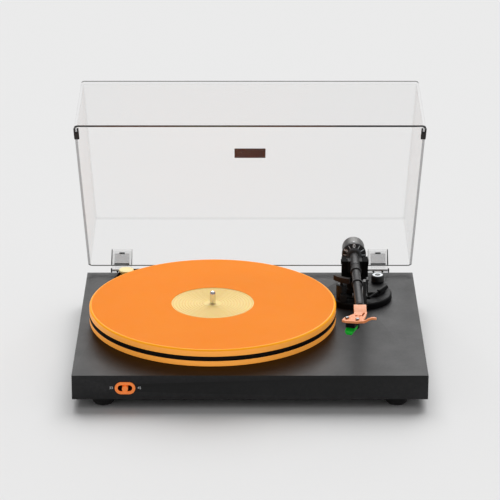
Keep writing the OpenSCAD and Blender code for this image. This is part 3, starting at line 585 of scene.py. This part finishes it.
# painted shade: a dark brown band on the belt groove's walls and lips
GROOVE_SHADE = surface("platter_groove_shade", (0.020, 0.010, 0.006), 0.6, spec=0.2, vary=0.15, patch=120.0)
LABEL = platter_material("platter_label", centre, (1.0, 0.78, 0.34), (0.98, 0.73, 0.30), 0.45, rings=0.00001)

PLATTER_LOOKS = [GLOWING_SIDE, RIM_HIGHLIGHT, TOP, LABEL, GROOVE_SHADE, LABEL_RIB_SHADE]

lower = [(hub_r, z0), (R - 0.8 * MM, z0), (R, z0 + 1.0 * MM), (R, groove - groove_lip),
         (R - groove_lip, groove), (groove_r, groove), (groove_r, groove_top)]
shoulder = [(R, z1 - 1.6 * MM), (R - 0.8 * MM, z1 - 0.7 * MM), (R - 1.9 * MM, z1), (R - 2.6 * MM, z1)]
prof = rounded(lower, 0.15 * MM, 2)
prof += [(R - groove_lip, groove_top), (R, groove_top + groove_lip)]
prof += rounded(shoulder, 0.5 * MM, 4)
prof += [(R * part, z1) for part in (0.9, 0.75, 0.55)]
prof += [(label_r + 0.3 * MM, z1), (label_r, z1 - 0.2 * MM), (label_r, floor_z)]
ring = label_r - 1.4 * MM
while ring > RIBS_END:
    prof += [(ring, floor_z), (ring - 0.35 * MM, floor_z + RIB_H), (ring - 1.0 * MM, floor_z + RIB_H),
             (ring - 1.35 * MM, floor_z)]
    ring -= RIB_PITCH
prof += [(8.4 * MM, floor_z), (8.0 * MM, floor_z - 0.1 * MM), (spindle_r, floor_z - 0.1 * MM),
         (spindle_r, hub_top), (hub_r, hub_top)]
platter = make("platter_disc", *lathe_mesh(prof, spin, 256, closed=True), PLATTER_LOOKS, "platter_body",
               "orange_acrylic", replaces=("platter",))


def platter_look(p):
    """The look of one face of the platter, by where it is and which way it faces."""
    c = p.center
    rad = math.hypot(c.x - centre.x, c.y - centre.y)
    # the shoulder chamfer takes the painted highlight
    if c.z > z1 - 1.65 * MM and rad > R - 2.7 * MM:
        return RIM_HIGHLIGHT
    if rad < label_r and c.z > z1 - 0.75 * MM:
        ribbed_area = 9 * MM < rad < label_r - 1.0 * MM
        # the sloping rib flanks take the darker painted shade
        return LABEL_RIB_SHADE if ribbed_area and abs(p.normal.z) < 0.98 else LABEL
    if c.z > z1 - 0.3 * MM:
        return TOP
    # the groove and its lips take the painted shade
    if groove - 0.35 * MM < c.z < groove_top + 0.35 * MM:
        return GROOVE_SHADE
    # everything else, side and underside, takes the painted glow
    return GLOWING_SIDE


for p in platter.data.polygons:
    p.material_index = PLATTER_LOOKS.index(platter_look(p))
add_split(platter, 28)

s_low, s_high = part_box("spindle")
spindle_profile = [(0, s_low.z), (4 * MM, s_low.z), (4 * MM, hub_top), (spindle_r, hub_top),
                   (spindle_r, s_high.z - 3.2 * MM), (spindle_r - 0.5 * MM, s_high.z - 1.5 * MM),
                   (spindle_r - 1.5 * MM, s_high.z - 0.4 * MM), (0.8 * MM, s_high.z), (0, s_high.z)]
spindle_rounds = [r * MM for r in (0, 0.1, 0, 0, 0.6, 0.6, 0.5, 0.3, 0)]
lathe("spindle_turned", rounded(spindle_profile, spindle_rounds, 5), spin, STEEL, "platter_body",
      "polished_steel", 64, replaces=("spindle",))

b_low, b_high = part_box("belt")
motor_c = middle("pulley")
BELT_T = 1.0 * MM
BELT_EDGE = 0.2 * MM
ROUND_PLATTER_STEPS = 220
ROUND_PULLEY_STEPS = 24


def tangent_loop(offset):
    """The outline round platter and pulley in the belt's plane, offset outwards from the belt's inside."""
    r_big, r_small = R - 1.9 * MM + offset, 7.3 * MM + offset
    a, b = Vector((centre.x, centre.y)), Vector((motor_c.x, motor_c.y))
    d = b - a
    base = math.atan2(d.y, d.x)
    lean = math.acos((r_big - r_small) / d.length)
    pts = []
    for k in range(ROUND_PLATTER_STEPS + 1):
        t = base + lean + (TAU - 2 * lean) * k / ROUND_PLATTER_STEPS
        pts.append((a.x + r_big * math.cos(t), a.y + r_big * math.sin(t)))
    for k in range(ROUND_PULLEY_STEPS + 1):
        t = base - lean + 2 * lean * k / ROUND_PULLEY_STEPS
        pts.append((b.x + r_small * math.cos(t), b.y + r_small * math.sin(t)))
    return pts


# the section's corners, as distance from the inside and height, in order round the section
section = ((0.0, b_low.z), (BELT_T - BELT_EDGE, b_low.z), (BELT_T, b_low.z + BELT_EDGE),
           (BELT_T, b_high.z - BELT_EDGE), (BELT_T - BELT_EDGE, b_high.z), (0.0, b_high.z))
verts = [(x, y, z) for offset, z in section for x, y in tangent_loop(offset)]
n = len(verts) // len(section)
faces = []
for layer in range(len(section)):
    up = (layer + 1) % len(section)
    faces += [(layer * n + i, layer * n + (i + 1) % n, up * n + (i + 1) % n, up * n + i) for i in range(n)]
make("belt_loop", verts, faces, BELT, "base", "belt_rubber", replaces=("belt",))

# ---------------------------------------------------------------- dust cover

hinge = Vector(joints["lid_hinge"]["pos_m"])
angle = math.radians(joints["lid_hinge"]["range_deg"][1])
pl_low, pl_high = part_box("plinth")
lid_pose = Matrix.Translation(hinge) @ Matrix.Rotation(-angle, 4, "X") @ Matrix.Translation(-hinge)
lid_w, lid_d = (pl_high.x - pl_low.x) - 2 * MM, pl_high.y - pl_low.y
mid_y = (pl_low.y + pl_high.y) / 2
lid_z = pl_high.z + 3 * MM
lid_h = 68 * MM
wall = 3 * MM
draft = 6 * MM
corner = 5 * MM
edge = 2.5 * MM
CORNER_STEPS = 10
EDGE_STEPS = 6
WALL_LEVELS = (0.25, 0.5, 0.75)


def rounded_loop(inset, radius, z):
    """One level of the closed cover: a rectangle with round corners."""
    pts = []
    hx, hy = lid_w / 2 - inset, lid_d / 2 - inset
    for sx, sy, start in ((1, 1, 0), (-1, 1, 90), (-1, -1, 180), (1, -1, 270)):
        cx, cy = sx * (hx - radius), sy * (hy - radius)
        for k in range(CORNER_STEPS + 1):
            t = math.radians(start + 90 * k / CORNER_STEPS)
            pts.append(Vector((cx + radius * math.cos(t), mid_y + cy + radius * math.sin(t), z)))
    return pts


def shell_loops(inset, height, edge_r, corner_r, rim_round=0.0):
    """Loops from the rim up over the top edge."""
    levels = [(inset + rim_round, lid_z)] if rim_round else []
    levels.append((inset, lid_z + rim_round))
    levels += [(inset + draft * t, lid_z + (height - edge_r) * t) for t in WALL_LEVELS]
    for k in range(EDGE_STEPS + 1):
        a = math.radians(90 * k / EDGE_STEPS)
        levels.append((inset + draft + edge_r * (1 - math.cos(a)),
                       lid_z + height - edge_r + edge_r * math.sin(a)))
    out = []
    for total, z in levels:
        over = max(0.0, total - inset - draft)
        out.append(rounded_loop(total, max(0.4 * MM, corner_r - over), z))
    return out


outer = shell_loops(0.0, lid_h, edge, corner, rim_round=0.5 * MM)
inner = shell_loops(wall, lid_h - wall, 1 * MM, corner - wall)
count = len(outer[0])
COVER_LOOKS = [CLEAR, PAINTED_DARK_EDGE, CLEAR_FOLD_SHADE, CLEAR_RIM_SHADE]
verts, faces, looks = [], [], []


def stack(loops, look_of):
    """Add the walls between successive loops, and return their first vertex's number."""
    start = len(verts)
    for loop in loops:
        verts.extend(lid_pose @ p for p in loop)
    for a in range(len(loops) - 1):
        low, high = start + a * count, start + (a + 1) * count
        for i in range(count):
            j = (i + 1) % count
            faces.append((low + i, low + j, high + j, high + i))
            looks.append(look_of(a, loops[a][i]))
    return start


def rim_look(p):
    """The ends of the cover's cut edge get painted dark shade, and its sides a lighter grey painted shade."""
    return PAINTED_DARK_EDGE if abs(p.y - mid_y) > lid_d / 2 - corner else CLEAR_RIM_SHADE


def outer_look(a, p):
    """The rim's own look, clear walls, then the fold at the top in painted grey shade, with painted dark shade
    along the front.
    """
    first_fold = 2 + len(WALL_LEVELS)
    if a == 0:
        return rim_look(p)
    if a < first_fold:
        return CLEAR
    return PAINTED_DARK_EDGE if p.y < mid_y - lid_d / 2 + draft + corner * 0.9 else CLEAR_FOLD_SHADE


def inner_look(a, p):
    """Clear walls, then the fold at the top in painted grey shade."""
    return CLEAR_FOLD_SHADE if a > len(WALL_LEVELS) else CLEAR


o0 = stack(outer, outer_look)
i0 = stack(inner, inner_look)
for i in range(count):
    j = (i + 1) % count
    faces.append((o0 + i, o0 + j, i0 + j, i0 + i))
    looks.append(rim_look(outer[0][i]))
for first, loops in ((o0, outer), (i0, inner)):
    last = first + (len(loops) - 1) * count
    faces.append(tuple(range(last, last + count)))
    looks.append(CLEAR)
me = bpy.data.meshes.new("clear_cover_shell")
me.from_pydata([tuple(v) for v in verts], [], faces)
for look in COVER_LOOKS:
    me.materials.append(look)
for p, look in zip(me.polygons, looks):
    p.material_index = COVER_LOOKS.index(look)
    p.use_smooth = True
face_outwards(me)
cover = add_object("clear_cover_shell", me)
add_split(cover, 30)
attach(cover, "lid")
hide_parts("dust_cover")

# ---------------------------------------------------------------- tonearm

pivot = Vector(joints["arm_swing"]["pos_m"])
back = Vector(joints["weight_slide"]["axis"]).normalized()
fwd = -back
right = Vector((1, 0, 0))
arm = axes(pivot, right, fwd.cross(right), fwd)
arm3 = arm.to_3x3()

# the tube's profile in mm, from the stub behind the pivot to the plug in the headshell
TUBE_R, SLEEVE_R, RING_R, STUB_R, PLUG_R = 5.2, 6.0, 6.8, 4.0, 2.2
tube_profile = rounded(mm([
    (0, -64), (3.2, -64), (STUB_R, -63.2), (STUB_R, -17), (5.4, -17), (SLEEVE_R, -16.4), (SLEEVE_R, 22),
    (5.5, 22.2), (5.5, 23.4), (SLEEVE_R, 23.6), (SLEEVE_R, 39), (RING_R, 39.2), (RING_R, 42), (5.6, 42.2),
    (TUBE_R, 42.6), (TUBE_R, 81.6), (RING_R, 81.9), (RING_R, 85), (TUBE_R, 85.3), (TUBE_R, 159.4),
    (TUBE_R - 0.3, 159.7), (TUBE_R - 0.3, 160.5), (TUBE_R, 160.8), (TUBE_R, 163.6), (TUBE_R - 1.2, 165),
    (PLUG_R, 165), (PLUG_R, 170.8), (0, 170.8)]), 0.22 * MM, 3)
tube = make("arm_wand", *lathe_mesh(tube_profile, arm, 80), TUBE, "arm", "arm_tube_dark",
            replaces=("arm_tube",))
add_split(tube, 34)
block = box_mesh((-9.7 * MM, -13.5 * MM, -7 * MM), (9.7 * MM, 2.6 * MM, 7 * MM), arm)
make("arm_pivot_block", *block, ARM_BLACK, "arm", "arm_tube_dark", bevel=1.2 * MM, segments=4)

w_low, w_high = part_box("counterweight")
weight_r = (w_high.x - w_low.x) / 2
dial_front = -24.5 * MM
dial_back = dial_front - 7 * MM
weight_back = dial_back - 24 * MM
bush = 7.05 * MM
weight_profile = rounded([
    (bush, weight_back), (9.5 * MM, weight_back), (9.5 * MM, weight_back + 0.8 * MM),
    (weight_r - 2.2 * MM, weight_back + 0.8 * MM), (weight_r - 1.6 * MM, weight_back),
    (weight_r - 0.9 * MM, weight_back), (weight_r, weight_back + 0.9 * MM),
    (weight_r, dial_back - 1.2 * MM), (weight_r - 0.5 * MM, dial_back - 0.3 * MM),
    (bush, dial_back - 0.3 * MM)], 0.3 * MM, 3)
lathe("counterweight_body", weight_profile, arm, WEIGHT, "weight", "weight_metal", 120, closed=True,
      replaces=("counterweight",))
dot = axes(arm @ Vector((0, weight_r, dial_back - 5.0 * MM)), arm3 @ Vector((1, 0, 0)),
           arm3 @ Vector((0, 0, 1)), arm3 @ Vector((0, 1, 0)))
dot_profile = mm([(0, -0.5), (1.0, -0.5), (1.0, -0.02), (0.8, 0.08), (0, 0.08)])
lathe("weight_mark", dot_profile, dot, WHITE, "weight", "weight_metal", 24)
dial_r = weight_r + 1.2 * MM


def ribs(edge_r, flutes, depth):
    """A wobble that cuts even flutes into the outside of a turned shape, beyond edge_r."""
    def wobble(a, r, z):
        if r > edge_r:
            r -= depth * (0.5 + 0.5 * math.cos(a * flutes))
        return r, z
    return wobble


dial_profile = rounded([
    (bush, dial_back), (dial_r - 0.8 * MM, dial_back), (dial_r, dial_back + 0.6 * MM),
    (dial_r, dial_front - 1.6 * MM), (dial_r - 0.9 * MM, dial_front - 0.7 * MM),
    (8.0 * MM, dial_front - 0.15 * MM), (7.6 * MM, dial_front), (bush, dial_front)], 0.25 * MM, 3)
lathe("force_ring", dial_profile, arm, DIAL, "weight_dial", "dial_black", 240, closed=True,
      replaces=("force_dial",), wobble=ribs(dial_r - 0.2 * MM, 60, 0.18 * MM))
flange_profile = rounded([
    (7.06 * MM, dial_front - 0.4 * MM), (9.3 * MM, dial_front - 0.4 * MM), (9.2 * MM, dial_front + 0.05 * MM),
    (7.06 * MM, dial_front + 0.05 * MM)], 0.1 * MM, 2)
lathe("force_ring_flange", flange_profile, arm, FLANGE, "weight_dial", "weight_metal", 80, closed=True)
DIAL_STEPS = 12
DIAL_DIGITS = {0: "0", 2: "5", 4: "4", 6: "3", 8: "2", 10: "1"}
# the digits lean back a little, as the ring's face does
on_face = (Matrix.Translation((0, 11.6 * MM, dial_front - 0.36 * MM))
           @ Matrix.Rotation(math.radians(-6), 4, "X"))
for k in range(DIAL_STEPS):
    place = arm @ Matrix.Rotation(TAU * k / DIAL_STEPS, 4, "Z") @ on_face
    if k in DIAL_DIGITS:
        lettering(f"dial_digit_{k}", DIAL_DIGITS[k], 6.6 * MM, place, WHITE, "weight_dial",
                  bold=0.18 * MM)
    else:
        tick = box_mesh((-0.35 * MM, -2.1 * MM, -0.1 * MM), (0.35 * MM, 2.1 * MM, 0.12 * MM), place)
        make(f"dial_tick_{k}", *tick, WHITE, "weight_dial", "dial_black", smooth=False)

# the cartridge's silver screws, in the headshell's slots
stylus_axis = Vector(joints["stylus_pull"]["axis"]).normalized()
shell_right = stylus_axis.cross(Vector((0, 0, 1)))
shell_right = shell_right.normalized() * (1 if shell_right.x > 0 else -1)
shell_up = shell_right.cross(stylus_axis).normalized()
if shell_up.z < 0:
    shell_up = -shell_up
# they are half an inch apart and turned by the shell's offset angle, and placed from the middle of the
# shell's front edge, all in mm along the arm's own axes
SCREW_HALF_PITCH = 6.35
SCREW_FROM_FRONT = 7.5
SHELL_OFFSET = math.radians(-21)
FRONT_X, FRONT_Y = -13, -209.5
SHELL_TOP = -0.4 * MM
screw_head = rounded(mm([(0, 0.0), (2.3, 0.0), (2.3, 1.2), (1.7, 1.62), (0.55, 1.62), (0.55, 0.9), (0, 0.9)]),
                     0.25 * MM, 3)
for side, tag in ((-1, "l"), (1, "r")):
    local = Matrix.Rotation(SHELL_OFFSET, 3, "Z") @ Vector((side * SCREW_HALF_PITCH, SCREW_FROM_FRONT, 0))
    spot = arm @ Vector(((FRONT_X + local.x) * MM, SHELL_TOP, -(FRONT_Y + local.y) * MM))
    seat = axes(spot, shell_right, shell_up.cross(shell_right), shell_up)
    lathe(f"cartridge_screw_{tag}", screw_head, seat, ZINC, "arm", "polished_steel", 40)

# ---------------------------------------------------------------- small details

k_low, k_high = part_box("antiskate_dial")
knob = Matrix.Translation(((k_low.x + k_high.x) / 2, (k_low.y + k_high.y) / 2, k_high.z))
knob_r = (k_high.x - k_low.x) / 2
ring_profile = rounded(mm([(3.6, -0.1), (6.5, -0.1), (6.5, 0.1), (6.2, 0.16), (3.9, 0.16), (3.6, 0.1)]),
                       0.06 * MM, 2)
lathe("skate_ring", ring_profile, knob, WHITE, "skate_dial", "black_plastic", 72, closed=True)
cap_profile = rounded(mm([(0, -0.1), (3.55, -0.1), (3.5, 0.3), (2.6, 0.5), (1.2, 0.42), (0, 0.4)]),
                      0.15 * MM, 3)
lathe("skate_cap", cap_profile, knob, BLACK, "skate_dial", "black_plastic", 60)
depth = k_high.z - k_low.z
knob_profile = rounded([
    (2.56 * MM, -depth), (knob_r - 0.4 * MM, -depth), (knob_r, 0.5 * MM - depth), (knob_r, -1.1 * MM),
    (knob_r - 0.5 * MM, -0.7 * MM), (knob_r - 1.2 * MM, -0.02 * MM), (0.3 * MM, -0.02 * MM),
    (0.3 * MM, -1.5 * MM), (2.56 * MM, -1.5 * MM)], 0.2 * MM, 3)
lathe("skate_knob", knob_profile, knob, BLACK, "skate_dial", "black_plastic", 216, closed=True,
      replaces=("antiskate_dial",), wobble=ribs(knob_r - 0.1 * MM, 36, 0.22 * MM))

bezel = middle("switch_bezel")
for dx, words in ((-16.2 * MM, "33"), (16.6 * MM, "45")):
    face = axes((bezel.x + dx, pl_low.y - 0.02 * MM, bezel.z), (1, 0, 0), (0, 0, 1), (0, -1, 0))
    lettering("speed_mark_" + words, words, 4.2 * MM, face, WHITE, "base", 0.04 * MM)

SIDES = ((-1, "l", "left"), (1, "r", "right"))
tension_profile = rounded(mm([(0, -2.2), (1.3, -2.2), (1.3, 0.6), (0.7, 0.8), (0.7, 0.2), (0, 0.2)]),
                          0.2 * MM, 3)
for x, tag, word in SIDES:
    low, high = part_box("hinge_base_" + word)
    for dx, end in ((-5.7 * MM, "a"), (5.7 * MM, "b")):
        seat = axes(((low.x + high.x) / 2 + dx, low.y + 2.3 * MM, high.z - 5.0 * MM), (1, 0, 0), (0, 0, 1),
                    (0, -1, 0))
        lathe(f"hinge_tension_{tag}_{end}", tension_profile, seat, PIN, "base", "black_steel", 24)

# frosted window, catch bar and side strips of painted dark edge on the two clear hinge clips, drawn with the
# cover closed
lean = math.atan(draft / lid_h)
clip_face = pl_high.y - wall - 2.2 * MM
window = mm([(-9.6, 0.9), (9.6, 0.9), (9.6, 14.0), (8.8, 14.9), (-8.8, 14.9), (-9.6, 14.0)])
STRIP_TOP = 20.6
for x, tag, word in SIDES:
    face = lid_pose @ axes((middle("hinge_arm_" + word).x, clip_face, lid_z), (1, 0, 0),
                           (0, -math.sin(lean), math.cos(lean)), (0, -math.cos(lean), -math.sin(lean)))
    make("hinge_window_" + tag, *prism(window, 0.05 * MM, 0.5 * MM, face), HINGE_FROST, "lid", "hinge_clear",
         smooth=False, bevel=0.15 * MM)
    for name, low, high, half in (("sill", -1.0, 0.7, 9.8), ("catch", 14.2, 16.0, 3.6)):
        bar = mm([(-half, low), (half, low), (half - 0.2, high), (0.2 - half, high)])
        make(f"hinge_{name}_{tag}", *prism(bar, 0.05 * MM, 1.0 * MM, face), HINGE_DARK, "lid", "black_steel",
             smooth=False, bevel=0.2 * MM)
    # side strips of painted dark edge down the clip's sides, wider and blacker on the outside
    for side, end in ((-1, "a"), (1, "b")):
        outside = side == x
        at = side * 12.6
        width = 1.1 if outside else 0.45
        strip = mm([(at - width, -1.0), (at + 0.35, -1.0), (at + 0.3, STRIP_TOP),
                    (at + 0.4 - width, STRIP_TOP)])
        make(f"hinge_side_{tag}_{end}", *prism(strip, 0.05 * MM, 0.35 * MM, face),
             HINGE_DARK if outside else PAINTED_DARK_EDGE, "lid", "hinge_clear", smooth=False)

# soft pads on the front of the cover's side rims
PAD = mm([(-3.0, 0), (-1.1, 0), (-1.1, 8.0), (1.1, 8.0), (1.1, 0), (3.0, 0), (3.0, 21.0), (2.2, 22.0),
          (-2.2, 22.0), (-3.0, 21.0)])
for x, tag, word in SIDES:
    pad_x, pad_y = x * (lid_w / 2 - 2.4 * MM), pl_low.y + corner
    pad = [(pad_x + u, pad_y + v) for u, v in PAD]
    make("cover_pad_" + tag, *prism(pad, lid_z - 2.2 * MM, lid_z - 0.05 * MM, lid_pose), RUBBER, "lid",
         "foot_rubber", bevel=0.3 * MM, replaces=("cover_bumpers",) if x < 0 else ())

# ---------------------------------------------------------------- stage, light and camera

FLOOR_HALF = 14
CORNERS = ((-1, -1), (1, -1), (1, 1), (-1, 1))
floor_look, _, inputs = new_material("pale_floor")
inputs["Base Color"].default_value = (0.80, 0.80, 0.80, 1)
inputs["Roughness"].default_value = 0.9
inputs["Specular IOR Level"].default_value = 0.1
me = bpy.data.meshes.new("floor")
me.from_pydata([(x * FLOOR_HALF, y * FLOOR_HALF, 0) for x, y in CORNERS], [], [(0, 1, 2, 3)])
me.materials.append(floor_look)
add_object("floor", me)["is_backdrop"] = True

scene = bpy.context.scene
scene.view_settings.view_transform = "Standard"
world = bpy.data.worlds.new("studio")
world.use_nodes = True
background = world.node_tree.nodes["Background"].inputs
background["Color"].default_value = (1.0, 1.0, 1.0, 1)
background["Strength"].default_value = 0.32
scene.world = world

# a wide soft sun from behind and above, a little to the right
SUN_DIRECTION = Vector((-0.12, -1.3, -1.42))
sun = bpy.data.lights.new("key", "SUN")
sun.energy = 3.0
sun.angle = math.radians(56)
add_object("key", sun).rotation_euler = SUN_DIRECTION.to_track_quat("-Z", "Y").to_euler()

# the camera fitted to the photo: distance in front of the plinth's middle, height over its top, tilt
CAMERA_BACK, CAMERA_UP, CAMERA_TILT = 3.0396, 1.2352, math.radians(69.41)
lens = bpy.data.cameras.new("camera")
lens.lens = 193.67
lens.sensor_width = 36
lens.clip_start = 0.1
lens.clip_end = 50
camera = add_object("camera", lens)
camera.location = (0, mid_y - CAMERA_BACK, CAMERA_UP + pl_high.z)
camera.rotation_euler = (CAMERA_TILT, 0, 0)
scene.camera = camera

low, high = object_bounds()
